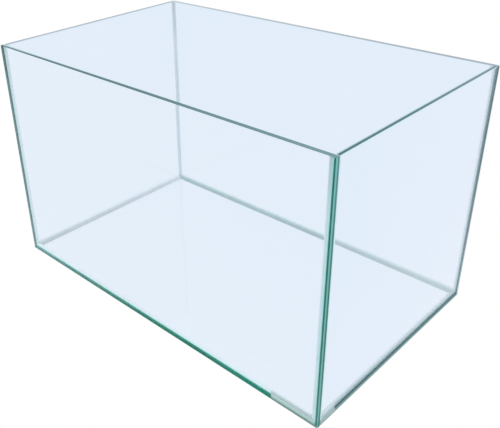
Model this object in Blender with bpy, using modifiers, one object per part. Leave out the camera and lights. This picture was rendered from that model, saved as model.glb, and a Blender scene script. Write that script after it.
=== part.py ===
"""Rimless glass aquarium tank, 600 x 360 x 360 mm, of 6 mm float glass bonded with clear silicone.

Frame: +Z up, X along the length, Y through the depth (front at -Y). The origin is the centre
of the underside. Units are metres.

Construction: two long walls run the full length and the full height. The base pane lies flat
between their lower edges, and the end walls stand on it, also between the long walls. A thin
silicone bond fills each joint, and a hand-tooled silicone seal fills each inside corner.
"""

import bmesh
import bpy
from math import asin, cos, radians, sin, sqrt
from mathutils import Matrix, Vector

# Driving dimensions
LENGTH = 0.600
DEPTH = 0.360
HEIGHT = 0.360
GLASS = 0.006  # thickness of every pane
ARRIS = 0.0006  # flat ground along every edge of a pane
JOINT = 0.0012  # space between two bonded panes
CLEARANCE = 0.0003  # left between neighbouring solids
BOND_SETBACK = 0.0005  # the bond stops this far inside the glass edges
BASE_SEAL_LEG = 0.0080  # how far a seal round the base reaches out along each pane
CORNER_SEAL_LEG = 0.0045  # the same for the upright seals
SEAL_SAG_SHARE = 0.17  # depth of the hollow tooled into a seal's face, as a share of its leg
SEAL_ARC_STEPS = 8
SEAL_TOP_SETBACK = 0.0015  # the upright seals stop this far below the rim
SMOOTH_ANGLE = radians(30)  # edges flatter than this are shaded smooth
WELD = 0.00001  # vertices closer than this are one
CUT_TOLERANCE = 1e-7  # vertices this close to a cutting plane lie on it

# Planes of the tank, worked out from the dimensions above
OUTER_X = LENGTH / 2
OUTER_Y = DEPTH / 2
INNER_X = OUTER_X - GLASS
INNER_Y = OUTER_Y - GLASS
BASE_TOP = GLASS
END_WALL_BOTTOM = BASE_TOP + JOINT
BETWEEN_WALLS_Y = INNER_Y - JOINT  # half the width of the panes that fit between the long walls

X_AXIS = Vector((1, 0, 0))
Y_AXIS = Vector((0, 1, 0))
Z_AXIS = Vector((0, 0, 1))

LONG_WALLS = {"front": -1, "back": 1}  # name and side along Y
END_WALLS = {"left": -1, "right": 1}  # name and side along X


def clear_scene():
    for old in list(bpy.data.objects):
        bpy.data.objects.remove(old, do_unlink=True)


def make_collection(name):
    collection = bpy.data.collections.new(name)
    bpy.context.scene.collection.children.link(collection)
    return collection


def make_material(name, colour, roughness, transmission, ior):
    material = bpy.data.materials.new(name)
    material.use_nodes = True
    shader = material.node_tree.nodes["Principled BSDF"]
    shader.inputs["Base Color"].default_value = (*colour, 1.0)
    shader.inputs["Metallic"].default_value = 0.0
    shader.inputs["Roughness"].default_value = roughness
    shader.inputs["Transmission Weight"].default_value = transmission
    shader.inputs["IOR"].default_value = ior
    material.diffuse_color = (*colour, 0.5)
    return material


def glass_material(name):
    return make_material(name, (0.78, 0.86, 0.94), 0.02, 1.0, 1.52)


def bond_material(name):
    return make_material(name, (0.62, 0.78, 0.78), 0.15, 0.8, 1.41)


def seal_material(name):
    return make_material(name, (0.68, 0.74, 0.80), 0.35, 0.6, 1.41)


def add_object(name, mesh, material, collection):
    part = bpy.data.objects.new(name, mesh)
    part.data.materials.append(material)
    collection.objects.link(part)
    return part


def block(name, low, high, material, collection):
    """A rectangular block between two corners, with its origin at its centre."""
    low, high = Vector(low), Vector(high)
    bm = bmesh.new()
    bmesh.ops.create_cube(bm, size=1.0, matrix=Matrix.Diagonal((*(high - low), 1.0)))
    mesh = bpy.data.meshes.new(name)
    bm.to_mesh(mesh)
    bm.free()
    part = add_object(name, mesh, material, collection)
    part.location = (low + high) / 2
    return part


def pane(name, low, high, collection):
    """A sheet of glass with a ground arris along every edge."""
    part = block(name, low, high, glass_material(name + "_glass"), collection)
    bevel = part.modifiers.new("arris", "BEVEL")
    bevel.width = ARRIS
    bevel.segments = 1
    bevel.limit_method = "ANGLE"
    return part


def bond(name, low, high, collection):
    """A flat layer of silicone between two panes."""
    return block(name, low, high, bond_material(name + "_silicone"), collection)


def seal_outline(leg):
    """Cross-section of a seal: a corner, and a shallow hollow arc between its two toes.

    X and Y run along the two panes from the corner where they meet.
    """
    heel = CLEARANCE
    sag = leg * SEAL_SAG_SHARE
    half_chord = (leg - heel) / sqrt(2)
    radius = (half_chord**2 + sag**2) / (2 * sag)
    half_angle = asin(half_chord / radius)
    centre = (leg + heel) / 2 + (radius - sag) / sqrt(2)
    outline = [(heel, heel)]
    for step in range(SEAL_ARC_STEPS + 1):
        angle = half_angle * (1 - 2 * step / SEAL_ARC_STEPS)
        inward = radius * cos(angle) / sqrt(2)
        across = radius * sin(angle) / sqrt(2)
        outline.append((centre - inward + across, centre - inward - across))
    return outline


def seal_sweep(name, leg, length):
    """The seal's cross-section as a flat outline, extruded from the XY plane up to a length."""
    curve = bpy.data.curves.new(name, "CURVE")
    curve.dimensions = "2D"
    curve.fill_mode = "BOTH"
    curve.extrude = length / 2
    outline = seal_outline(leg)
    spline = curve.splines.new("POLY")
    spline.points.add(len(outline) - 1)
    spline.use_cyclic_u = True
    for point, (x, y) in zip(spline.points, outline):
        point.co = (x, y, 0.0, 1.0)
    sweep = bpy.data.objects.new(name + "_sweep", curve)
    bpy.context.scene.collection.objects.link(sweep)
    sweep.location.z = length / 2
    bpy.context.view_layer.update()
    return sweep


def mesh_from_curve(sweep):
    """A closed bmesh in world space that takes the place of an extruded curve."""
    evaluated = sweep.evaluated_get(bpy.context.evaluated_depsgraph_get())
    mesh = bpy.data.meshes.new_from_object(evaluated)
    bm = bmesh.new()
    bm.from_mesh(mesh)
    bmesh.ops.transform(bm, matrix=sweep.matrix_world, verts=bm.verts)
    bmesh.ops.remove_doubles(bm, verts=bm.verts, dist=WELD)
    bpy.data.meshes.remove(mesh)
    bpy.data.objects.remove(sweep, do_unlink=True)
    return bm


def cut_end(bm, point, outward):
    """Cuts off what lies beyond a plane and closes the cut."""
    geometry = bm.verts[:] + bm.edges[:] + bm.faces[:]
    result = bmesh.ops.bisect_plane(
        bm, geom=geometry, plane_co=point, plane_no=outward, clear_outer=True, dist=CUT_TOLERANCE
    )
    edges = [item for item in result["geom_cut"] if isinstance(item, bmesh.types.BMEdge)]
    bmesh.ops.edgeloop_fill(bm, edges=edges)


def mitre_start(bm):
    """Slopes the start back at 45 degrees, so that three seals meet in one inside corner."""
    gap = CLEARANCE / sqrt(2)
    for side in (X_AXIS, Y_AXIS):
        cut_end(bm, Z_AXIS * gap, side - Z_AXIS)


def mitre_finish(bm, length):
    """Slopes the far end in the same way."""
    gap = CLEARANCE / sqrt(2)
    for side in (X_AXIS, Y_AXIS):
        cut_end(bm, Z_AXIS * (length - gap), side + Z_AXIS)


def seal(name, leg, corner, along, sides, length, meets_corner, collection):
    """A silicone fillet that starts at an inside corner of the tank and runs along one edge.

    sides are the directions of the two panes away from that edge. meets_corner says that the
    far end is also in an inside corner.
    """
    first, second = sides
    if first.cross(second).dot(along) < 0:
        first, second = second, first
    bm = mesh_from_curve(seal_sweep(name, leg, length))
    mitre_start(bm)
    if meets_corner:
        mitre_finish(bm, length)
    bmesh.ops.recalc_face_normals(bm, faces=bm.faces[:])
    mesh = bpy.data.meshes.new(name)
    bm.to_mesh(mesh)
    bm.free()
    mesh.shade_smooth()
    mesh.set_sharp_from_angle(angle=SMOOTH_ANGLE)
    part = add_object(name, mesh, seal_material(name + "_silicone"), collection)
    turn = Matrix((first, second, along)).transposed().to_4x4()
    part.matrix_world = Matrix.Translation(corner) @ turn
    return part


def build_panes(tank):
    low = (-OUTER_X, -BETWEEN_WALLS_Y, 0)
    high = (OUTER_X, BETWEEN_WALLS_Y, BASE_TOP)
    pane("base_pane", low, high, tank)
    for name, side in LONG_WALLS.items():
        faces = sorted((side * INNER_Y, side * OUTER_Y))
        low = (-OUTER_X, faces[0], 0)
        high = (OUTER_X, faces[1], HEIGHT)
        pane(name + "_pane", low, high, tank)
    for name, side in END_WALLS.items():
        faces = sorted((side * INNER_X, side * OUTER_X))
        low = (faces[0], -BETWEEN_WALLS_Y, END_WALL_BOTTOM)
        high = (faces[1], BETWEEN_WALLS_Y, HEIGHT)
        pane(name + "_pane", low, high, tank)


def build_base_bonds(tank):
    """The layers between the base's edges and the long walls, and under the end walls."""
    for name, side in LONG_WALLS.items():
        reach = OUTER_X - BOND_SETBACK
        faces = sorted((side * (INNER_Y - CLEARANCE), side * (BETWEEN_WALLS_Y + CLEARANCE)))
        low = (-reach, faces[0], BOND_SETBACK)
        high = (reach, faces[1], BASE_TOP)
        bond("base_bond_" + name, low, high, tank)
    for name, side in END_WALLS.items():
        faces = sorted((side * (INNER_X + CLEARANCE), side * (OUTER_X - BOND_SETBACK)))
        low = (faces[0], -BETWEEN_WALLS_Y, BASE_TOP + CLEARANCE)
        high = (faces[1], BETWEEN_WALLS_Y, END_WALL_BOTTOM - CLEARANCE)
        bond("base_bond_" + name, low, high, tank)


def build_corner_bonds(tank):
    """The upright layers between the ends of the end walls and the long walls."""
    top = HEIGHT - BOND_SETBACK
    for long_name, y_side in LONG_WALLS.items():
        y_faces = sorted((y_side * (INNER_Y - CLEARANCE), y_side * (BETWEEN_WALLS_Y + CLEARANCE)))
        for end_name, x_side in END_WALLS.items():
            x_faces = sorted((x_side * (INNER_X + CLEARANCE), x_side * (OUTER_X - BOND_SETBACK)))
            low = (x_faces[0], y_faces[0], BASE_TOP + CLEARANCE)
            high = (x_faces[1], y_faces[1], top)
            bond("corner_bond_" + long_name + "_" + end_name, low, high, tank)


def build_base_seals(tank):
    """The seals round the inside of the base."""
    for name, side in LONG_WALLS.items():
        corner = Vector((-INNER_X, side * INNER_Y, BASE_TOP))
        sides = (-side * Y_AXIS, Z_AXIS)
        length = 2 * INNER_X
        seal("base_seal_" + name, BASE_SEAL_LEG, corner, X_AXIS, sides, length, True, tank)
    for name, side in END_WALLS.items():
        corner = Vector((side * INNER_X, -INNER_Y, BASE_TOP))
        sides = (-side * X_AXIS, Z_AXIS)
        length = 2 * INNER_Y
        seal("base_seal_" + name, BASE_SEAL_LEG, corner, Y_AXIS, sides, length, True, tank)


def build_corner_seals(tank):
    """The upright seals in the four inside corners."""
    length = HEIGHT - SEAL_TOP_SETBACK - BASE_TOP
    for long_name, y_side in LONG_WALLS.items():
        for end_name, x_side in END_WALLS.items():
            corner = Vector((x_side * INNER_X, y_side * INNER_Y, BASE_TOP))
            sides = (-x_side * X_AXIS, -y_side * Y_AXIS)
            name = "corner_seal_" + long_name + "_" + end_name
            seal(name, CORNER_SEAL_LEG, corner, Z_AXIS, sides, length, False, tank)


def main():
    clear_scene()
    tank = make_collection("aquarium_tank")
    build_panes(tank)
    build_base_bonds(tank)
    build_corner_bonds(tank)
    build_base_seals(tank)
    build_corner_seals(tank)


main()
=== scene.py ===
import math

import bmesh
import bpy
from mathutils import Matrix, Vector, noise


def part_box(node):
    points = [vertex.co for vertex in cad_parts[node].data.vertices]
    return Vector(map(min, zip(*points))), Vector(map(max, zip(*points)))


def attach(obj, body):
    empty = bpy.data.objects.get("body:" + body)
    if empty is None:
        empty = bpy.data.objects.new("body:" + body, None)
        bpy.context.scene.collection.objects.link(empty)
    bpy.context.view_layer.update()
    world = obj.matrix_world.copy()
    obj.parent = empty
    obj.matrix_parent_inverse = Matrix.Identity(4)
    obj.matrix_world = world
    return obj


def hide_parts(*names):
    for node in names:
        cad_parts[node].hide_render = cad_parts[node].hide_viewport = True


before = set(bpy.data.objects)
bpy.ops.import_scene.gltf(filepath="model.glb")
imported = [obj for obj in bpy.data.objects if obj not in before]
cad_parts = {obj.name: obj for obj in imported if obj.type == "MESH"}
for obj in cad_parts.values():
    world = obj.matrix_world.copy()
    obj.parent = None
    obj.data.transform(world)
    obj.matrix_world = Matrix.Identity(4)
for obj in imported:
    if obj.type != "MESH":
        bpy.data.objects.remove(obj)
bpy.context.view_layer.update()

LONG_WALLS = {"front": -1, "back": 1}
END_WALLS = {"left": -1, "right": 1}
CONTACT_GAP = 0.00002  # left between silicone and glass that touch


# Node helpers

NOISE_LOW, NOISE_HIGH = 0.3, 0.7  # values of the noise that count as its lowest and highest
CLEAR = (1.0, 1.0, 1.0)
BLACK = (0.0, 0.0, 0.0)


def linear(red, green, blue):
    """A colour given as it shows on screen (sRGB, 0 to 255), in the units that shaders use."""
    shown = [c / 255 for c in (red, green, blue)]
    return tuple(c / 12.92 if c <= 0.04045 else ((c + 0.055) / 1.055) ** 2.4 for c in shown)


def rgba(colour):
    return (*colour, 1.0)


def new_material(name):
    material = bpy.data.materials.new(name)
    material.use_nodes = True
    tree = material.node_tree
    return material, tree, tree.nodes["Principled BSDF"]


def add_node(tree, kind, **settings):
    node = tree.nodes.new(kind)
    for key, value in settings.items():
        setattr(node, key, value)
    return node


def feed(tree, socket, value):
    """Put a value, a colour or another node's output into a socket."""
    if isinstance(value, bpy.types.NodeSocket):
        tree.links.new(value, socket)
    elif isinstance(value, tuple) and len(value) == 3:
        socket.default_value = rgba(value)
    else:
        socket.default_value = value


def position(tree, axis):
    place = add_node(tree, "ShaderNodeTexCoord")
    parts = add_node(tree, "ShaderNodeSeparateXYZ")
    tree.links.new(place.outputs["Object"], parts.inputs[0])
    return parts.outputs[axis]


def calculate(tree, operation, first, second=0.0):
    node = add_node(tree, "ShaderNodeMath", operation=operation)
    feed(tree, node.inputs[0], first)
    feed(tree, node.inputs[1], second)
    return node.outputs[0]


def rescale(tree, value, low, high, new_low=0.0, new_high=1.0):
    node = add_node(tree, "ShaderNodeMapRange", clamp=True)
    feed(tree, node.inputs["Value"], value)
    limits = {"From Min": low, "From Max": high, "To Min": new_low, "To Max": new_high}
    for name, number in limits.items():
        node.inputs[name].default_value = number
    return node.outputs["Result"]


def blend(tree, factor, first, second, how="MIX"):
    node = add_node(tree, "ShaderNodeMix", data_type="RGBA", blend_type=how)
    feed(tree, node.inputs["Factor"], factor)
    feed(tree, node.inputs["A"], first)
    feed(tree, node.inputs["B"], second)
    return node.outputs["Result"]


def ramp(tree, factor, places_and_colours):
    node = add_node(tree, "ShaderNodeValToRGB")
    elements = node.color_ramp.elements
    for index, (place, colour) in enumerate(places_and_colours):
        element = elements[index] if index < 2 else elements.new(place)
        element.position = place
        element.color = rgba(colour)
    feed(tree, node.inputs["Fac"], factor)
    return node.outputs["Color"]


def speckle(tree, scale, detail=2.0):
    """Noise from 0 to 1. scale is how many features it has to the metre along each axis."""
    place = add_node(tree, "ShaderNodeTexCoord")
    stretch = add_node(tree, "ShaderNodeMapping")
    stretch.inputs["Scale"].default_value = scale
    tree.links.new(place.outputs["Object"], stretch.inputs["Vector"])
    node = add_node(tree, "ShaderNodeTexNoise")
    node.inputs["Scale"].default_value = 1.0
    node.inputs["Detail"].default_value = detail
    tree.links.new(stretch.outputs[0], node.inputs["Vector"])
    return node.outputs["Fac"]


def by_noise(tree, noise_value, low, high):
    return rescale(tree, noise_value, NOISE_LOW, NOISE_HIGH, low, high)


def shaded(tree, colour, noise_value, depth):
    """The colour made up to depth darker and lighter by noise."""
    tone = by_noise(tree, noise_value, 1.0 - depth, 1.0 + depth)
    node = add_node(tree, "ShaderNodeVectorMath", operation="SCALE")
    if isinstance(colour, bpy.types.NodeSocket):
        tree.links.new(colour, node.inputs[0])
    else:
        node.inputs[0].default_value = colour
    tree.links.new(tone, node.inputs["Scale"])
    return node.outputs[0]


def roughen(tree, shader, noise_value, roughness, bumps):
    """Roughness between two limits, and bumps of a strength and depth, both by the same noise."""
    feed(tree, shader.inputs["Roughness"], by_noise(tree, noise_value, *roughness))
    bump = add_node(tree, "ShaderNodeBump")
    bump.inputs["Strength"].default_value, bump.inputs["Distance"].default_value = bumps
    feed(tree, bump.inputs["Height"], noise_value)
    feed(tree, shader.inputs["Normal"], bump.outputs[0])


def seen_from_behind(tree):
    return add_node(tree, "ShaderNodeNewGeometry").outputs["Backfacing"]


# Where things are on the tank

HALF_LENGTH, HALF_DEPTH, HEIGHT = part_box("back_pane")[1]
HALF = {"X": HALF_LENGTH, "Y": HALF_DEPTH}
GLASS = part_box("base_pane")[1].z  # thickness of the glass, and height of the base's upper face

# Next to the front right corner the foot of the tank is pale with painted light, this far along the
# front and the end
PALE_ZONE_LENGTH = 0.073
PALE_ZONE_DEPTH = 0.037
PALE_ZONE_X = HALF_LENGTH - PALE_ZONE_LENGTH
PALE_ZONE_Y = PALE_ZONE_DEPTH - HALF_DEPTH
PALE_ZONE_FADE = 0.001
CENTRE_FADE = 0.05  # colours of opposite sides change into each other this close to the middle


def away(tree):
    """From 0 at the front right corner, over 0.5 at the two next to it, to 1 at the back left."""
    from_right = rescale(tree, position(tree, "X"), HALF_LENGTH, -HALF_LENGTH, 0.0, 0.5)
    from_front = rescale(tree, position(tree, "Y"), -HALF_DEPTH, HALF_DEPTH, 0.0, 0.5)
    return calculate(tree, "ADD", from_right, from_front)


def across_wall(tree, axis, depth=GLASS):
    """From 0 at a wall's inner face, or at this depth in it, to 1 at its outer face."""
    across = calculate(tree, "ABSOLUTE", position(tree, axis))
    return rescale(tree, across, HALF[axis] - depth, HALF[axis])


def up_the_base(tree):
    """From 0 at the floor to 1 at the base's upper face."""
    return rescale(tree, position(tree, "Z"), 0.0, GLASS)


def painted_light_zone(tree):
    """1 in the part of the foot that is pale with painted light, 0 elsewhere."""
    x, y = position(tree, "X"), position(tree, "Y")
    along_x = rescale(tree, x, PALE_ZONE_X - PALE_ZONE_FADE, PALE_ZONE_X + PALE_ZONE_FADE)
    along_y = rescale(tree, y, PALE_ZONE_Y + PALE_ZONE_FADE, PALE_ZONE_Y - PALE_ZONE_FADE)
    return calculate(tree, "MULTIPLY", along_x, along_y)


# The glass

ARRIS = 0.0006  # flat ground along every edge of a pane
GLASS_IOR = 1.52
END_FACE_TINT = (0.93, 0.95, 1.0)  # makes up for the stronger glare on the end walls
FILL_TINT = (0.767, 0.854, 0.956)  # what a line of sight loses where it leaves the tank
RIM_GLOW = (0.975, 1.0, 1.0)  # extra tint next to a cut edge
GLOW_WIDTH = 0.007
GLASS_SHINE = 0.12
EDGE_SHINE = 0.06
GRINDING_ACROSS = 2600.0  # grinding marks to the metre, across the edge and along it
GRINDING_ALONG = 30.0
EDGE_ROUGHNESS = (0.18, 0.36)
EDGE_BUMPS = (0.2, 0.00003)
GLASS_UNEVENNESS = 0.002  # of the tint, over patches of this many to the metre
GLASS_PATCHES = (4.0, 4.0, 4.0)
GLOW_FALLOFF = 2.0


def clear_glass(name, tinted_side, other_side=CLEAR):
    """Clear float glass. Only a line of sight on its way out of the tank is tinted, so a view
    through two walls is as pale as a view through one. tinted_side is 0 where such a line
    meets the front of the face, and 1 where it meets the back. other_side is the tint for a
    line that meets the face from its other side.
    """
    material, tree, shader = new_material(name)
    shader.inputs["Transmission Weight"].default_value = 1.0
    shader.inputs["Roughness"].default_value = 0.0
    shader.inputs["IOR"].default_value = GLASS_IOR
    shader.inputs["Specular Tint"].default_value = rgba([GLASS_SHINE] * 3)
    sides = [FILL_TINT, other_side] if tinted_side == 0 else [other_side, FILL_TINT]
    tint = blend(tree, seen_from_behind(tree), *sides)
    glow = add_node(tree, "ShaderNodeAttribute", attribute_name="glow").outputs["Fac"]
    near_edge = blend(tree, 1.0, tint, RIM_GLOW, "MULTIPLY")
    tint = blend(tree, calculate(tree, "POWER", glow, GLOW_FALLOFF), tint, near_edge)
    tint = shaded(tree, tint, speckle(tree, GLASS_PATCHES), GLASS_UNEVENNESS)
    tree.links.new(tint, shader.inputs["Base Color"])
    return material


def cut_edge(name, run, outside, inside):
    """The ground and polished edge of a pane. run is the axis its grinding lines follow. Both
    colours are made by functions: outside is what the bare edge shows, its teal with painted
    light and shade, and inside is painted light, a glow on the back of the edge that shows
    through the pane where the light that travels in the glass comes out.
    """
    material, tree, shader = new_material(name)
    scale = [GRINDING_ACROSS] * 3
    scale["XYZ".index(run)] = GRINDING_ALONG
    lines = speckle(tree, scale, 3.0)
    drift = speckle(tree, (18.0, 18.0, 18.0), 3.0)
    behind = seen_from_behind(tree)
    bare = shaded(tree, shaded(tree, outside(tree), drift, 0.04), lines, 0.06)
    # Seen from behind, through the pane, the edge is black and glows with the inside colour:
    # painted light
    feed(tree, shader.inputs["Base Color"], blend(tree, behind, bare, BLACK))
    feed(tree, shader.inputs["Emission Color"], shaded(tree, inside(tree), drift, 0.04))
    feed(tree, shader.inputs["Emission Strength"], behind)
    shader.inputs["IOR"].default_value = GLASS_IOR
    shader.inputs["Specular IOR Level"].default_value = EDGE_SHINE
    roughen(tree, shader, lines, EDGE_ROUGHNESS, EDGE_BUMPS)
    return material


# Colours along the foot of the tank, by the distance that away() gives, with painted light
# and shade in them: through the long walls, on their bare outer part, and through the end walls
LONG_FOOT = (
    (0.0, (34, 122, 106)),
    (0.12, (36, 122, 106)),
    (0.18, (34, 114, 98)),
    (0.25, (44, 120, 104)),
    (0.40, (76, 130, 124)),
    (0.50, (104, 145, 146)),
)
LONG_FOOT_LIGHT = (
    (0.0, (104, 178, 166)),
    (0.25, (104, 176, 163)),
    (0.50, (130, 176, 172)),
)
END_FOOT = (
    (0.0, (78, 108, 111)),
    (0.25, (82, 116, 118)),
    (0.50, (96, 130, 132)),
)
END_PALE = linear(168, 191, 194)  # the part of the foot of the right end that is pale with painted light


def by_place(made, places_and_colours):
    """made turns a colour into the units of the shader."""
    return lambda tree: ramp(tree, away(tree), [(p, made(*c)) for p, c in places_and_colours])


def with_zone(colour, low_colour, high_colour):
    """A colour for the foot of the tank: paler with painted light near the front right corner."""
    def made(tree):
        pale = blend(tree, up_the_base(tree), low_colour, high_colour)
        return blend(tree, painted_light_zone(tree), colour(tree), pale)
    return made


def up_to_corner(tree, zone):
    """Ends the zone of painted light where the end wall begins."""
    end = HALF_LENGTH - GLASS
    before = rescale(tree, position(tree, "X"), end, end + 0.2 * GLASS, 1.0, 0.0)
    return calculate(tree, "MULTIPLY", zone, before)


def plain(colour):
    return lambda tree: colour


def by_distance(*colours):
    """Evenly spaced stops from the front right corner to the back left one."""
    last = len(colours) - 1
    return lambda tree: ramp(tree, away(tree), [(i / last, c) for i, c in enumerate(colours)])


def long_foot(tree):
    """Lighter towards the outer face: painted light."""
    light = by_place(linear, LONG_FOOT_LIGHT)(tree)
    outward = across_wall(tree, "Y", 0.7 * GLASS)
    return blend(tree, outward, by_place(linear, LONG_FOOT)(tree), light)


def base_end_edge(tree):
    """Lighter towards the floor: painted light."""
    low, middle, high = linear(176, 200, 201), linear(134, 166, 167), linear(108, 142, 143)
    return ramp(tree, up_the_base(tree), [(0.0, low), (0.45, middle), (1.0, high)])


def across_tank(tree, axis, *places_and_colours):
    """A colour that changes along X or Y, from 0 at the low side of the tank to 1."""
    along = rescale(tree, position(tree, axis), -HALF[axis], HALF[axis])
    return ramp(tree, along, [(place, linear(*colour)) for place, colour in places_and_colours])


def from_one_side(tree, axis, low_side, high_side):
    """One colour in the low half of the tank along an axis, another in the high half."""
    side = rescale(tree, position(tree, axis), -CENTRE_FADE, CENTRE_FADE)
    return blend(tree, side, low_side, high_side)


def long_rim(tree):
    """Dark at the front, with a pale inner border that narrows to the right, paler at the back:
    painted light and shade on the edge's teal.
    """
    border = rescale(tree, position(tree, "X"), -HALF_LENGTH, 0.3 * HALF_LENGTH, 0.45, 0.06)
    past_border = calculate(tree, "SUBTRACT", across_wall(tree, "Y"), border)
    core = across_tank(
        tree, "X", (0.0, (104, 128, 138)), (0.15, (78, 112, 118)),
        (0.5, (82, 120, 126)), (1.0, (118, 152, 158)),
    )
    front = blend(tree, rescale(tree, past_border, 0.08, -0.08), core, linear(190, 224, 232))
    back = across_tank(
        tree, "X", (0.0, (184, 198, 206)), (0.5, (172, 185, 193)), (1.0, (160, 174, 185))
    )
    return from_one_side(tree, "Y", front, back)


def end_rim(tree):
    """Darker on the outer two thirds of the cut, and pale at the left: painted light and shade."""
    dark = across_tank(
        tree, "Y", (0.0, (68, 112, 117)), (0.5, (76, 117, 122)), (1.0, (114, 138, 149))
    )
    outer = from_one_side(tree, "X", linear(154, 166, 177), dark)
    inner = from_one_side(tree, "X", linear(172, 186, 197), linear(164, 197, 204))
    return blend(tree, rescale(tree, across_wall(tree, "X"), 0.20, 0.45), inner, outer)


# A painted highlight along the rim's arris, paler and more cyan at the right end than at the left
def end_rim_arris(tree):
    return from_one_side(tree, "X", linear(192, 204, 214), linear(206, 236, 242))


def up_the_tank(tree, *places_and_colours):
    """A colour that changes with height, from 0 at the floor to 1 at the rim."""
    up = rescale(tree, position(tree, "Z"), 0.0, HEIGHT)
    return ramp(tree, up, [(place, linear(*colour)) for place, colour in places_and_colours])


def upright_colour(tree):
    """The bare ends of the long walls, with painted light and shade: light on their outer part, and
    greyer at the back right.
    """
    outer = up_the_tank(
        tree, (0.0, (92, 150, 143)), (0.03, (98, 156, 150)), (0.08, (110, 168, 164)),
        (0.5, (98, 172, 164)), (0.8, (120, 182, 184)), (1.0, (126, 184, 190)),
    )
    inner = up_the_tank(
        tree, (0.0, (74, 128, 124)), (0.2, (54, 110, 107)), (0.5, (38, 110, 102)),
        (0.8, (66, 125, 128)), (1.0, (84, 140, 146)),
    )
    core = up_the_tank(
        tree, (0.0, (164, 186, 196)), (0.35, (96, 122, 131)),
        (0.65, (62, 92, 101)), (1.0, (48, 80, 88)),
    )
    fringe = up_the_tank(
        tree, (0.0, (226, 236, 240)), (0.35, (200, 214, 218)),
        (0.65, (164, 184, 190)), (1.0, (138, 160, 168)),
    )
    outward = across_wall(tree, "Y")
    back = blend(tree, rescale(tree, outward, 0.46, 0.66), core, fringe)
    near = blend(tree, rescale(tree, outward, 0.58, 0.76), inner, outer)
    near = blend(tree, rescale(tree, outward, 0.20, 0.10), near, linear(190, 228, 231))
    return from_one_side(tree, "X", near, from_one_side(tree, "Y", near, back))


def upright_inside(tree):
    """Painted light that glows through the glass: teal at the near corner, darker upwards at the
    corners beside it, pale at the far one.
    """
    beside = up_the_tank(
        tree, (0.0, (94, 138, 140)), (0.2, (84, 126, 132)), (0.5, (66, 112, 113)),
        (0.8, (68, 112, 116)), (0.9, (40, 98, 103)), (1.0, (34, 86, 92)),
    )
    near = blend(tree, rescale(tree, away(tree), 0.0, 0.5), linear(70, 138, 130), beside)
    return blend(tree, rescale(tree, away(tree), 0.5, 1.0), near, linear(150, 175, 182))


def build_edge_materials():
    """One for each kind of edge, under the name that build_panes() asks for. "inside" tones are
    painted light that glows through the glass. The others are the bare edge's teal with painted
    light and shade, and the paler arrises carry painted highlights.
    """
    teal_inside = linear(70, 138, 130)
    rim_inside = plain(linear(110, 150, 150))
    arris_inside = plain(linear(120, 160, 160))
    far_inside = by_distance(linear(60, 128, 118), linear(150, 178, 184), linear(190, 208, 220))
    end_inside = by_distance(teal_inside, linear(70, 104, 118), linear(170, 190, 200))
    upright_arris = by_distance(linear(112, 184, 176), linear(120, 150, 156), linear(150, 175, 182))
    end_arris = by_distance(linear(224, 246, 250), linear(190, 212, 221), linear(196, 216, 226))
    long_pale = linear(114, 144, 140)
    long_foot_inside = with_zone(long_foot, long_pale, long_pale)
    end_foot_inside = with_zone(by_place(linear, END_FOOT), END_PALE, END_PALE)
    base_end = with_zone(base_end_edge, linear(138, 164, 160), linear(174, 197, 198))
    rim_arris_inside = plain(linear(190, 225, 230))
    return {
        "base_long": cut_edge("glass_base_long_edge", "X", long_foot, far_inside),
        "base_end": cut_edge("glass_base_end_edge", "Y", base_end, far_inside),
        "foot_long": cut_edge("glass_foot_long", "X", long_foot, long_foot_inside),
        "foot_end": cut_edge("glass_foot_end", "Y", by_place(linear, END_FOOT), end_foot_inside),
        "upright_long": cut_edge("glass_upright_long", "Z", upright_colour, upright_inside),
        "upright_end": cut_edge("glass_upright_end", "Z", upright_colour, end_inside),
        "upright_arris": cut_edge("glass_upright_arris", "Z", upright_arris, arris_inside),
        "end_arris": cut_edge("glass_end_arris", "Z", end_arris, arris_inside),
        "rim_long": cut_edge("glass_rim_long", "X", long_rim, rim_inside),
        "rim_end": cut_edge("glass_rim_end", "Y", end_rim, rim_inside),
        "rim_arris": cut_edge("glass_rim_arris", "Y", end_rim_arris, rim_arris_inside),
    }


# Pieces


def add_piece(name, mesh, node):
    piece = bpy.data.objects.new(name, mesh)
    bpy.context.scene.collection.objects.link(piece)
    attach(piece, "root")
    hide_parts(node)
    return piece


def finish_mesh(bm, name, materials, smooth_angle=None):
    mesh = bpy.data.meshes.new(name)
    bm.to_mesh(mesh)
    bm.free()
    for material in materials:
        mesh.materials.append(material)
    if smooth_angle is not None:
        mesh.shade_smooth()
        mesh.set_sharp_from_angle(angle=smooth_angle)
    return mesh


FACING = 0.9  # a face looks along a direction if its normal has this much of it
TILTED = 0.3  # an arris has at least this much of the broad face's direction
PREFER_Z = 0.1


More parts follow.
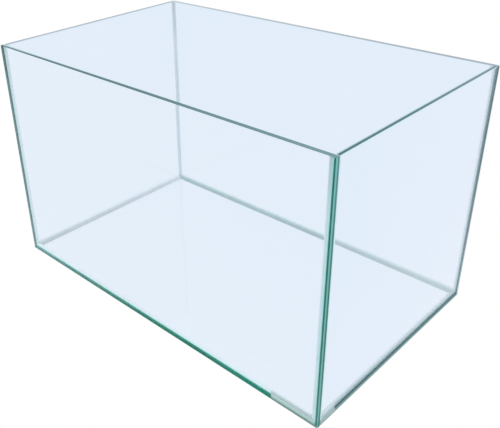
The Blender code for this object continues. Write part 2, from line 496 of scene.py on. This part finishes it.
def pane(node, inward, edge_of):
    """A sheet of glass with ground edges. inward is the direction of its inner face. edge_of
    gives the name of an edge's material from the axis it faces, the size and sign of its normal
    along that axis, and whether it is an arris.
    """
    low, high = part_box(node)
    bm = bmesh.new()
    place = Matrix.Translation((low + high) / 2) @ Matrix.Diagonal((*(high - low), 1.0))
    bmesh.ops.create_cube(bm, size=1.0, matrix=place)
    bmesh.ops.bevel(bm, geom=bm.edges[:], offset=ARRIS, segments=1, affect="EDGES")
    glow = bm.verts.layers.float.new("glow")
    for vert in bm.verts:
        vert[glow] = 1.0
    bm.normal_update()
    broad = [face for face in bm.faces if abs(face.normal.dot(inward)) > FACING]
    bmesh.ops.inset_individual(bm, faces=broad, thickness=GLOW_WIDTH)
    for face in broad:
        for vert in face.verts:
            vert[glow] = 0.0
    slots = {}
    bm.normal_update()
    for face in bm.faces:
        across = face.normal.dot(inward)
        if abs(across) > FACING:
            key = "inner" if across > 0 else "outer_end" if inward.x else "outer"
        else:
            along = face.normal - inward * across
            # At a corner of the pane the rim or foot counts before the upright edge
            axis = max(range(3), key=lambda i: abs(along[i]) + PREFER_Z * (i == 2))
            key = edge_of(axis, along[axis], abs(across) > TILTED)
        face.material_index = slots.setdefault(key, len(slots))
    mesh = finish_mesh(bm, node, [GLASS_MATERIALS[key] for key in slots])
    return add_piece(node.replace("_pane", "_sheet"), mesh, node)


def build_panes():
    def base_edge(axis, way, arris):
        return "base_long" if axis == 1 and (arris or abs(way) > FACING) else "base_end"

    def long_edge(axis, way, arris):
        if axis == 2:
            return "rim_long" if way > 0 else "foot_long"
        return "upright_arris" if arris else "upright_long"

    def end_edge(axis, way, arris):
        if axis == 2:
            if way < 0:
                return "foot_end"
            return "rim_arris" if arris else "rim_end"
        return "end_arris" if arris else "upright_end"

    pane("base_pane", Vector((0, 0, 1)), base_edge)
    for name, side in LONG_WALLS.items():
        pane(name + "_pane", Vector((0, -side, 0)), long_edge)
    for name, side in END_WALLS.items():
        pane(name + "_pane", Vector((-side, 0, 0)), end_edge)


# The silicone

SILICONE_IOR = 1.41
INSIDE_LIGHT = (0.78, 0.847, 0.94)  # what the tinted panes leave of the light inside the tank
BOND_LIGHT = 0.7  # what the panes round a bond leave of that
WHITEST = 0.98  # the lightest that a base colour in the tank gets
SEAL_SAG_SHARE = 0.17  # depth of the hollow tooled into a seal's face, as a share of its leg
SEAL_WOBBLE = 0.05  # how much a hand-tooled leg varies, as a share of it
SLOW_WAVES, QUICK_WAVES = 28.0, 90.0  # of that variation, to the metre
ARC_STEPS = 12
STATION = 0.005  # length of one step of a mesh along a seal or bond
CONTACT_SHINE = 0.03
FACE_SHINE = 0.35
SILICONE_ROUGHNESS = (0.22, 0.38)
SILICONE_BUMPS = (0.25, 0.0002)
SEAL_CREASE = math.radians(30)  # sharper edges than this stay sharp
BOND_CREASE = math.radians(40)
BOND_PROUD = 0.0003  # how far a bond comes out past the plain CAD layer
BOND_DISH = 0.0001
BOND_WOBBLE = 0.00005
CAD_CLEARANCE = 0.0003  # between the CAD's silicone and its glass


def lit_inside(red, green, blue):
    """The colour that shows as this one in the light inside the tank."""
    shown = linear(red, green, blue)
    return tuple(min(c / light, WHITEST) for c, light in zip(shown, INSIDE_LIGHT))


def lit_between_panes(red, green, blue):
    """The same for the light that reaches a bond."""
    return tuple(c / BOND_LIGHT for c in lit_inside(red, green, blue))


def silicone(name, colour, shine, measure="reach"):
    """colour is a function of the tree and of a measure that the mesh carries: "reach" is how
    far a point is from the tank's corner or outer side, as a share of the whole, and "turn" how
    far it is round a tooled face. Silicone that lies against glass has next to no shine.
    """
    material, tree, shader = new_material(name)
    skin = speckle(tree, (90.0, 90.0, 90.0), 4.0)
    cloud = speckle(tree, (14.0, 14.0, 14.0), 2.0)
    value = add_node(tree, "ShaderNodeAttribute", attribute_name=measure).outputs["Fac"]
    made = shaded(tree, shaded(tree, colour(tree, value), cloud, 0.03), skin, 0.02)
    feed(tree, shader.inputs["Base Color"], made)
    shader.inputs["IOR"].default_value = SILICONE_IOR
    shader.inputs["Specular IOR Level"].default_value = shine
    roughen(tree, shader, skin, SILICONE_ROUGHNESS, SILICONE_BUMPS)
    return material


def stops(*places_and_colours):
    """A colour by the measure, in the light inside the tank."""
    lit = [(place, lit_inside(*colour)) for place, colour in places_and_colours]
    return lambda tree, measure: ramp(tree, measure, lit)


# Against the glass, from the corner out to the toe, with painted light and shade
CORNER_CONTACT = stops(
    (0.0, (176, 222, 225)), (0.3, (190, 220, 227)), (0.6, (194, 217, 226)),
    (0.85, (206, 227, 237)), (1.0, (222, 237, 248)),
)
LONG_CONTACT = stops(
    (0.0, (160, 216, 210)), (0.24, (198, 238, 237)), (0.49, (214, 243, 247)),
    (0.81, (225, 239, 250)),
)
END_CONTACT = stops((0.0, (150, 176, 184)), (0.4, (163, 189, 199)), (1.0, (164, 190, 200)))
# In the part of the foot that is pale with painted light
ZONE_CONTACT = stops(
    (0.0, (168, 191, 194)), (0.5, (176, 197, 201)), (0.85, (206, 222, 229)), (1.0, (222, 236, 247)),
)

# The tooled face, from the toe on the base (or on the long wall) to the toe on the wall, with
# painted light and shade: a lit or shaded copy for each side of the tank
CORNER_FACE = stops(
    (0.0, (206, 222, 236)), (0.3, (192, 209, 224)), (0.7, (192, 209, 224)), (1.0, (206, 222, 236)),
)
FRONT_FACE = stops(
    (0.0, (226, 239, 250)), (0.2, (216, 231, 242)), (0.4, (178, 201, 211)),
    (0.7, (188, 209, 219)), (0.85, (208, 226, 236)), (1.0, (221, 235, 246)),
)
BACK_FACE = stops(
    (0.0, (168, 191, 203)), (0.15, (152, 178, 189)), (0.45, (158, 184, 194)),
    (0.7, (187, 210, 219)), (0.85, (208, 227, 237)), (1.0, (220, 235, 246)),
)
RIGHT_FACE = stops(
    (0.0, (218, 234, 246)), (0.15, (200, 220, 233)), (0.35, (180, 204, 214)),
    (0.6, (168, 192, 202)),
)
LEFT_FACE = stops(
    (0.0, (170, 188, 201)), (0.15, (165, 182, 196)), (0.45, (169, 186, 200)),
    (0.7, (189, 205, 217)), (0.85, (209, 224, 236)), (1.0, (222, 236, 248)),
)
LEFT_FACE_BACK = stops(
    (0.0, (190, 206, 220)), (0.15, (187, 203, 218)), (0.45, (193, 209, 223)),
    (0.7, (208, 223, 236)), (0.85, (219, 234, 246)), (1.0, (224, 238, 250)),
)
TOP_PART = 0.80  # from this share of the height up a corner seal gets darker
LIGHT_AT_TOP = 0.80


def zoned(colour):
    """The colour, except in the part of the foot that is pale with painted light."""
    def made(tree, reach):
        return blend(tree, painted_light_zone(tree), colour(tree, reach), ZONE_CONTACT(tree, reach))
    return made


def shaded_at_top(colour):
    def made(tree, value):
        up = position(tree, "Z")
        light = rescale(tree, up, TOP_PART * HEIGHT, HEIGHT, 1.0, LIGHT_AT_TOP)
        return blend(tree, light, BLACK, colour(tree, value))
    return made


def either_side(axis, low_side, high_side):
    """One colour at the low side of the tank along an axis, changing to another at the high."""
    def made(tree, value):
        across = rescale(tree, position(tree, axis), -HALF[axis], HALF[axis])
        return blend(tree, across, low_side(tree, value), high_side(tree, value))
    return made


def seal_outline(leg):
    """Corner first, then a shallow hollow arc between the two toes."""
    heel = CONTACT_GAP
    sag = leg * SEAL_SAG_SHARE
    half_chord = (leg - heel) / math.sqrt(2)
    radius = (half_chord**2 + sag**2) / (2 * sag)
    half_angle = math.asin(half_chord / radius)
    centre = (leg + heel) / 2 + (radius - sag) / math.sqrt(2)
    outline = [(heel, heel)]
    for step in range(ARC_STEPS + 1):
        angle = half_angle * (1 - 2 * step / ARC_STEPS)
        inward = radius * math.cos(angle) / math.sqrt(2)
        across = radius * math.sin(angle) / math.sqrt(2)
        outline.append((centre - inward + across, centre - inward - across))
    return outline


def loft(rings, measures, side_slots, cap_slot):
    """Skin a row of rings of points into a closed tube. measures gives each attribute's value
    at each point of a ring, and side_slots the material slot of each side of the ring.
    """
    bm = bmesh.new()
    layers = {name: bm.verts.layers.float.new(name) for name in measures}
    rows = []
    for ring in rings:
        rows.append([bm.verts.new(point) for point in ring])
        for name, values in measures.items():
            for vert, value in zip(rows[-1], values):
                vert[layers[name]] = value
    for first, second in zip(rows, rows[1:]):
        for i, slot in enumerate(side_slots):
            j = (i + 1) % len(side_slots)
            bm.faces.new((first[i], first[j], second[j], second[i])).material_index = slot
    bm.faces.new(rows[0][::-1]).material_index = cap_slot
    bm.faces.new(rows[-1]).material_index = cap_slot
    return bm


def wobble(seed, place):
    """Slow, smooth and repeatable, from about -1 to 1."""
    slow = noise.noise(Vector((place * SLOW_WAVES, seed * 7.3, 0.5)))
    quick = noise.noise(Vector((place * QUICK_WAVES, seed * 3.1, 4.5)))
    return slow + 0.5 * quick


def seed_from(node, most):
    return sum(ord(letter) for letter in node) % most


def cut_end(bm, point, outward):
    """Cut off what lies outward of the point, and close the cut."""
    geometry = bm.verts[:] + bm.edges[:] + bm.faces[:]
    result = bmesh.ops.bisect_plane(
        bm, geom=geometry, plane_co=point, plane_no=outward, clear_outer=True, dist=1e-7
    )
    edges = [item for item in result["geom_cut"] if isinstance(item, bmesh.types.BMEdge)]
    bmesh.ops.edgeloop_fill(bm, edges=edges)


def seal(node, leg, corner, along, sides, length, meets_corner, materials):
    """corner is where the seal begins and along the direction that it runs in. sides are the
    directions of the base (or the long wall) and of the wall, away from the edge that the seal
    runs along. It is mitred where it meets the next seals.
    """
    seed = seed_from(node, 97)
    count = round(length / STATION)
    outline = seal_outline(leg)
    rings = []
    for step in range(count + 1):
        place = length * step / count
        wobbles = [wobble(seed + offset, place) for offset in (0, 31)]
        shares = [1 - SEAL_WOBBLE * (0.5 + 0.5 * value) for value in wobbles]
        ring = []
        for point in outline:
            x, y = (CONTACT_GAP + (c - CONTACT_GAP) * share for c, share in zip(point, shares))
            ring.append(Vector((x, y, place)))
        rings.append(ring)
    measures = {
        "reach": [max(x, y) / leg for x, y in outline],
        "turn": [0.0] + [step / ARC_STEPS for step in range(ARC_STEPS + 1)],
    }
    bm = loft(rings, measures, [0] + [1] * ARC_STEPS + [0], 0)
    x_axis, y_axis, z_axis = Matrix.Identity(3)
    for side in (x_axis, y_axis):
        cut_end(bm, z_axis * CONTACT_GAP, side - z_axis)
        if meets_corner:
            cut_end(bm, z_axis * (length - CONTACT_GAP), side + z_axis)
    place = Matrix((*sides, along)).transposed().to_4x4()
    bmesh.ops.transform(bm, matrix=Matrix.Translation(corner) @ place, verts=bm.verts)
    bmesh.ops.recalc_face_normals(bm, faces=bm.faces[:])
    mesh = finish_mesh(bm, node, materials, SEAL_CREASE)
    return add_piece(node + "_bead", mesh, node)


def build_seals():
    # Each side of the tank gets its own lit or shaded copy of the face colour: painted light and
    # shade
    long_face = either_side("Y", FRONT_FACE, BACK_FACE)
    left_face = either_side("Y", LEFT_FACE, LEFT_FACE_BACK)
    end_face = either_side("X", left_face, RIGHT_FACE)
    corner_materials = [
        silicone("silicone_corner_contact", shaded_at_top(CORNER_CONTACT), CONTACT_SHINE),
        silicone("silicone_corner_face", shaded_at_top(CORNER_FACE), FACE_SHINE, "turn"),
    ]
    long_materials = [
        silicone("silicone_long_contact", zoned(LONG_CONTACT), CONTACT_SHINE),
        silicone("silicone_long_face", long_face, FACE_SHINE, "turn"),
    ]
    end_materials = [
        silicone("silicone_end_contact", zoned(END_CONTACT), CONTACT_SHINE),
        silicone("silicone_end_face", end_face, FACE_SHINE, "turn"),
    ]
    x_axis, y_axis, z_axis = Matrix.Identity(3)
    inner_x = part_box("right_pane")[0].x
    inner_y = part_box("back_pane")[0].y
    base_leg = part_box("base_seal_front")[1].z - GLASS
    corner_leg = inner_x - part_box("corner_seal_front_right")[0].x
    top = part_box("corner_seal_front_right")[1].z
    for name, side in LONG_WALLS.items():
        corner = Vector((-inner_x, side * inner_y, GLASS))
        sides = (-side * y_axis, z_axis)
        node = "base_seal_" + name
        seal(node, base_leg, corner, x_axis, sides, 2 * inner_x, True, long_materials)
    for name, side in END_WALLS.items():
        corner = Vector((side * inner_x, -inner_y, GLASS))
        sides = (-side * x_axis, z_axis)
        node = "base_seal_" + name
        seal(node, base_leg, corner, y_axis, sides, 2 * inner_y, True, end_materials)
    for long_name, y_side in LONG_WALLS.items():
        for end_name, x_side in END_WALLS.items():
            corner = Vector((x_side * inner_x, y_side * inner_y, GLASS))
            sides = (-x_side * x_axis, -y_side * y_axis)
            node = "corner_seal_" + long_name + "_" + end_name
            seal(node, corner_leg, corner, z_axis, sides, top - GLASS, False, corner_materials)


# Places across a bond's outer side, and how deep the dish is there
BOND_STEPS = ((0.0, 0.0), (0.2, 0.64), (0.5, 1.0), (0.8, 0.64), (1.0, 0.0))


def bond_ring(low, high, axes, place, shift):
    """A ring across a bond: dished on its outer side, flat on the side that meets the seal.
    axes are the run, the thickness and the width, and the width starts at the outer side.
    """
    run, thin, wide = axes
    width = high[wide] - low[wide]
    outer = []
    for v, dish in BOND_STEPS:
        outer.append((v, low[wide] + math.copysign(shift + dish * BOND_DISH, width)))
    points = []
    for v, along in outer + [(1.0, high[wide]), (0.0, high[wide])]:
        point = Vector((0, 0, 0))
        point[run] = place
        point[thin] = low[thin] + v * (high[thin] - low[thin])
        point[wide] = along
        points.append(point)
    return points


def bond(node, materials):
    """A layer of silicone that fills its joint, where the plain CAD layer leaves a clearance."""
    low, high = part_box(node)
    size = high - low
    thin, wide, run = sorted(range(3), key=lambda i: size[i])
    gap = CAD_CLEARANCE - CONTACT_GAP
    low[thin] -= gap
    high[thin] += gap
    # Beside the base the outer side is the floor's. Elsewhere it is the one away from the middle
    # of the tank, and the other side reaches to a seal.
    if wide != 2:
        if low[wide] > 0:
            low[wide], high[wide] = high[wide], low[wide] - gap
        else:
            high[wide] += gap
    low[wide] -= math.copysign(BOND_PROUD, high[wide] - low[wide])
    count = round(size[run] / STATION)
    seed = seed_from(node, 89)
    rings = []
    for step in range(count + 1):
        place = low[run] + size[run] * step / count
        shift = BOND_WOBBLE * (1 + wobble(seed, place))
        rings.append(bond_ring(low, high, (run, thin, wide), place, max(shift, 0.0)))
    outer_sides = len(BOND_STEPS) - 1
    measures = {"reach": [0.0] * len(BOND_STEPS) + [1.0, 1.0]}
    bm = loft(rings, measures, [1] * outer_sides + [0, 0, 0], 1)
    bmesh.ops.recalc_face_normals(bm, faces=bm.faces[:])
    mesh = finish_mesh(bm, node, materials, BOND_CREASE)
    return add_piece(node + "_layer", mesh, node)


def corner_bond_colour(tree, reach):
    """Painted light and shade: at the near corner it is deep teal with a pale inner border,
    elsewhere grey and then pale, and darker near the top.
    """
    near = ramp(tree, reach, [(0.78, lit_inside(20, 116, 107)), (0.92, lit_inside(178, 220, 222))])
    pale = [(0.75, lit_inside(160, 191, 197)), (1.0, lit_inside(182, 216, 222))]
    low = ramp(tree, reach, [(0.55, lit_inside(70, 109, 114))] + pale)
    high = ramp(tree, reach, [(0.55, lit_inside(8, 72, 76))] + pale)
    far = blend(tree, rescale(tree, position(tree, "Z"), 0.82 * HEIGHT, 0.90 * HEIGHT), low, high)
    return blend(tree, rescale(tree, away(tree), 0.1, 0.4), near, far)


def base_bond_colour(places_and_colours):
    def made(tree, reach):
        # The foot's colours, with their painted light and shade, and paler with painted light near
        # the front right corner
        colour = by_place(lit_between_panes, places_and_colours)(tree)
        pale = lit_between_panes(160, 183, 181)
        return blend(tree, up_to_corner(tree, painted_light_zone(tree)), colour, pale)
    return made


def outer_line(tree, reach):
    """What shows of a bond between the panes from outside, with painted light and shade."""
    above_base = rescale(tree, position(tree, "Z"), GLASS, 2 * GLASS)
    front = blend(tree, above_base, linear(150, 177, 178), linear(222, 245, 249))
    return from_one_side(tree, "X", front, from_one_side(tree, "Y", front, linear(96, 122, 132)))


def end_line(tree, reach):
    """The same under an end wall, where it is dark with painted shade, and pale with painted light
    in the zone near the front right corner.
    """
    return blend(tree, painted_light_zone(tree), linear(78, 110, 112), END_PALE)


def build_bonds():
    outer_material = silicone("silicone_bond_outer", outer_line, FACE_SHINE)
    end_line_material = silicone("silicone_end_bond_outer", end_line, CONTACT_SHINE)
    corner_material = silicone("silicone_corner_bond", corner_bond_colour, CONTACT_SHINE)
    long_material = silicone("silicone_long_bond", base_bond_colour(LONG_FOOT), CONTACT_SHINE)
    end_material = silicone("silicone_end_bond", base_bond_colour(END_FOOT), CONTACT_SHINE)
    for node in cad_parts:
        if node.startswith("corner_bond_"):
            bond(node, [corner_material, outer_material])
        elif node.startswith("base_bond_") and node[10:] in LONG_WALLS:
            bond(node, [long_material, outer_material])
        elif node.startswith("base_bond_"):
            bond(node, [end_material, end_line_material])


# Stage

SHADE_BESIDE_ENDS = 0.0052
SHADE_BESIDE_LONG = 0.0074
SHADE_HEIGHT = -0.0002
# What is left of the floor's light beside the long walls and beside the end walls
SHADE_LIGHT = {"contact_shade_long": 0.3, "contact_shade_end": 0.0}
SHADE_GAP = 0.0002  # between the glass and the shade
FLOOR_HEIGHT = -0.0003
FLOOR_HALF = 8.0
CORNER_TURN = ((-1, -1), (1, -1), (1, 1), (-1, 1))


def glowing(name, light):
    """A surface of the stage, of even brightness whatever stands on it."""
    material, _, shader = new_material(name)
    shader.inputs["Base Color"].default_value = (0, 0, 0, 1)
    shader.inputs["Specular IOR Level"].default_value = 0.0
    shader.inputs["Emission Color"].default_value = (1, 1, 1, 1)
    shader.inputs["Emission Strength"].default_value = light
    return material


def build_contact_shade():
    """The floor right beside the glass is in shade, which only its reflection in the foot of
    the tank gives away.
    """
    bm = bmesh.new()
    inner_x, inner_y = HALF_LENGTH + SHADE_GAP, HALF_DEPTH + SHADE_GAP
    outer_x, outer_y = HALF_LENGTH + SHADE_BESIDE_ENDS, HALF_DEPTH + SHADE_BESIDE_LONG
    rows = []
    for x, y in ((inner_x, inner_y), (outer_x, outer_y)):
        rows.append([bm.verts.new((sx * x, sy * y, SHADE_HEIGHT)) for sx, sy in CORNER_TURN])
    for i in range(4):
        j = (i + 1) % 4
        side = bm.faces.new((rows[0][i], rows[0][j], rows[1][j], rows[1][i]))
        side.material_index = i % 2
    materials = [glowing(name, light) for name, light in SHADE_LIGHT.items()]
    mesh = finish_mesh(bm, "contact_shade", materials)
    shade = bpy.data.objects.new("contact_shade", mesh)
    bpy.context.scene.collection.objects.link(shade)
    shade.visible_camera = False
    shade.visible_diffuse = False
    shade.visible_transmission = False
    shade.visible_shadow = False


def build_stage():
    bm = bmesh.new()
    bmesh.ops.create_grid(bm, x_segments=1, y_segments=1, size=FLOOR_HALF)
    mesh = finish_mesh(bm, "floor", [glowing("floor_white", 1.0)])
    floor = bpy.data.objects.new("floor", mesh)
    floor.location.z = FLOOR_HEIGHT
    bpy.context.scene.collection.objects.link(floor)
    build_contact_shade()
    world = bpy.data.worlds.new("studio")
    world.use_nodes = True
    world.node_tree.nodes["Background"].inputs["Color"].default_value = (1, 1, 1, 1)
    bpy.context.scene.world = world


# The camera's direction in degrees: azimuth, elevation and roll
CAMERA_ANGLES = (45.6926, 28.5902, -2.1243)
CAMERA_PLACE = Vector((0.62580, -0.68771, 0.64471))
LENS = 49.473
SENSOR = 36.0
SHIFT_X = 0.1096
SHIFT_Y = -0.0361


def build_camera():
    azimuth, elevation, roll = (math.radians(angle) for angle in CAMERA_ANGLES)
    forward = Vector((
        -math.sin(azimuth) * math.cos(elevation),
        math.cos(azimuth) * math.cos(elevation),
        -math.sin(elevation),
    ))
    right = forward.cross(Vector((0, 0, 1))).normalized()
    turn = Matrix.Rotation(roll, 3, -forward)
    right = turn @ right
    up = right.cross(forward)
    data = bpy.data.cameras.new("camera")
    data.sensor_width = SENSOR
    data.lens = LENS
    data.shift_x = SHIFT_X
    data.shift_y = SHIFT_Y
    data.clip_start = 0.01
    camera = bpy.data.objects.new("camera", data)
    bpy.context.scene.collection.objects.link(camera)
    place = Matrix((right, up, -forward)).transposed().to_4x4()
    place.translation = CAMERA_PLACE
    camera.matrix_world = place
    bpy.context.scene.camera = camera


def set_light_paths():
    """Room for all the glass that a line of sight crosses, and for reflections inside it."""
    cycles = bpy.context.scene.cycles
    cycles.max_bounces = 32
    cycles.transmission_bounces = 32
    cycles.glossy_bounces = 16
    cycles.diffuse_bounces = 4
    cycles.blur_glossy = 0.0
    cycles.use_denoising = True
    bpy.context.scene.view_settings.view_transform = "Standard"


GLASS_MATERIALS = build_edge_materials()
GLASS_MATERIALS["inner"] = clear_glass("glass_inner_face", 0)
GLASS_MATERIALS["outer"] = clear_glass("glass_outer_face", 1)
GLASS_MATERIALS["outer_end"] = clear_glass("glass_outer_end_face", 1, END_FACE_TINT)
build_panes()
build_bonds()
build_seals()
build_stage()
build_camera()
set_light_paths()
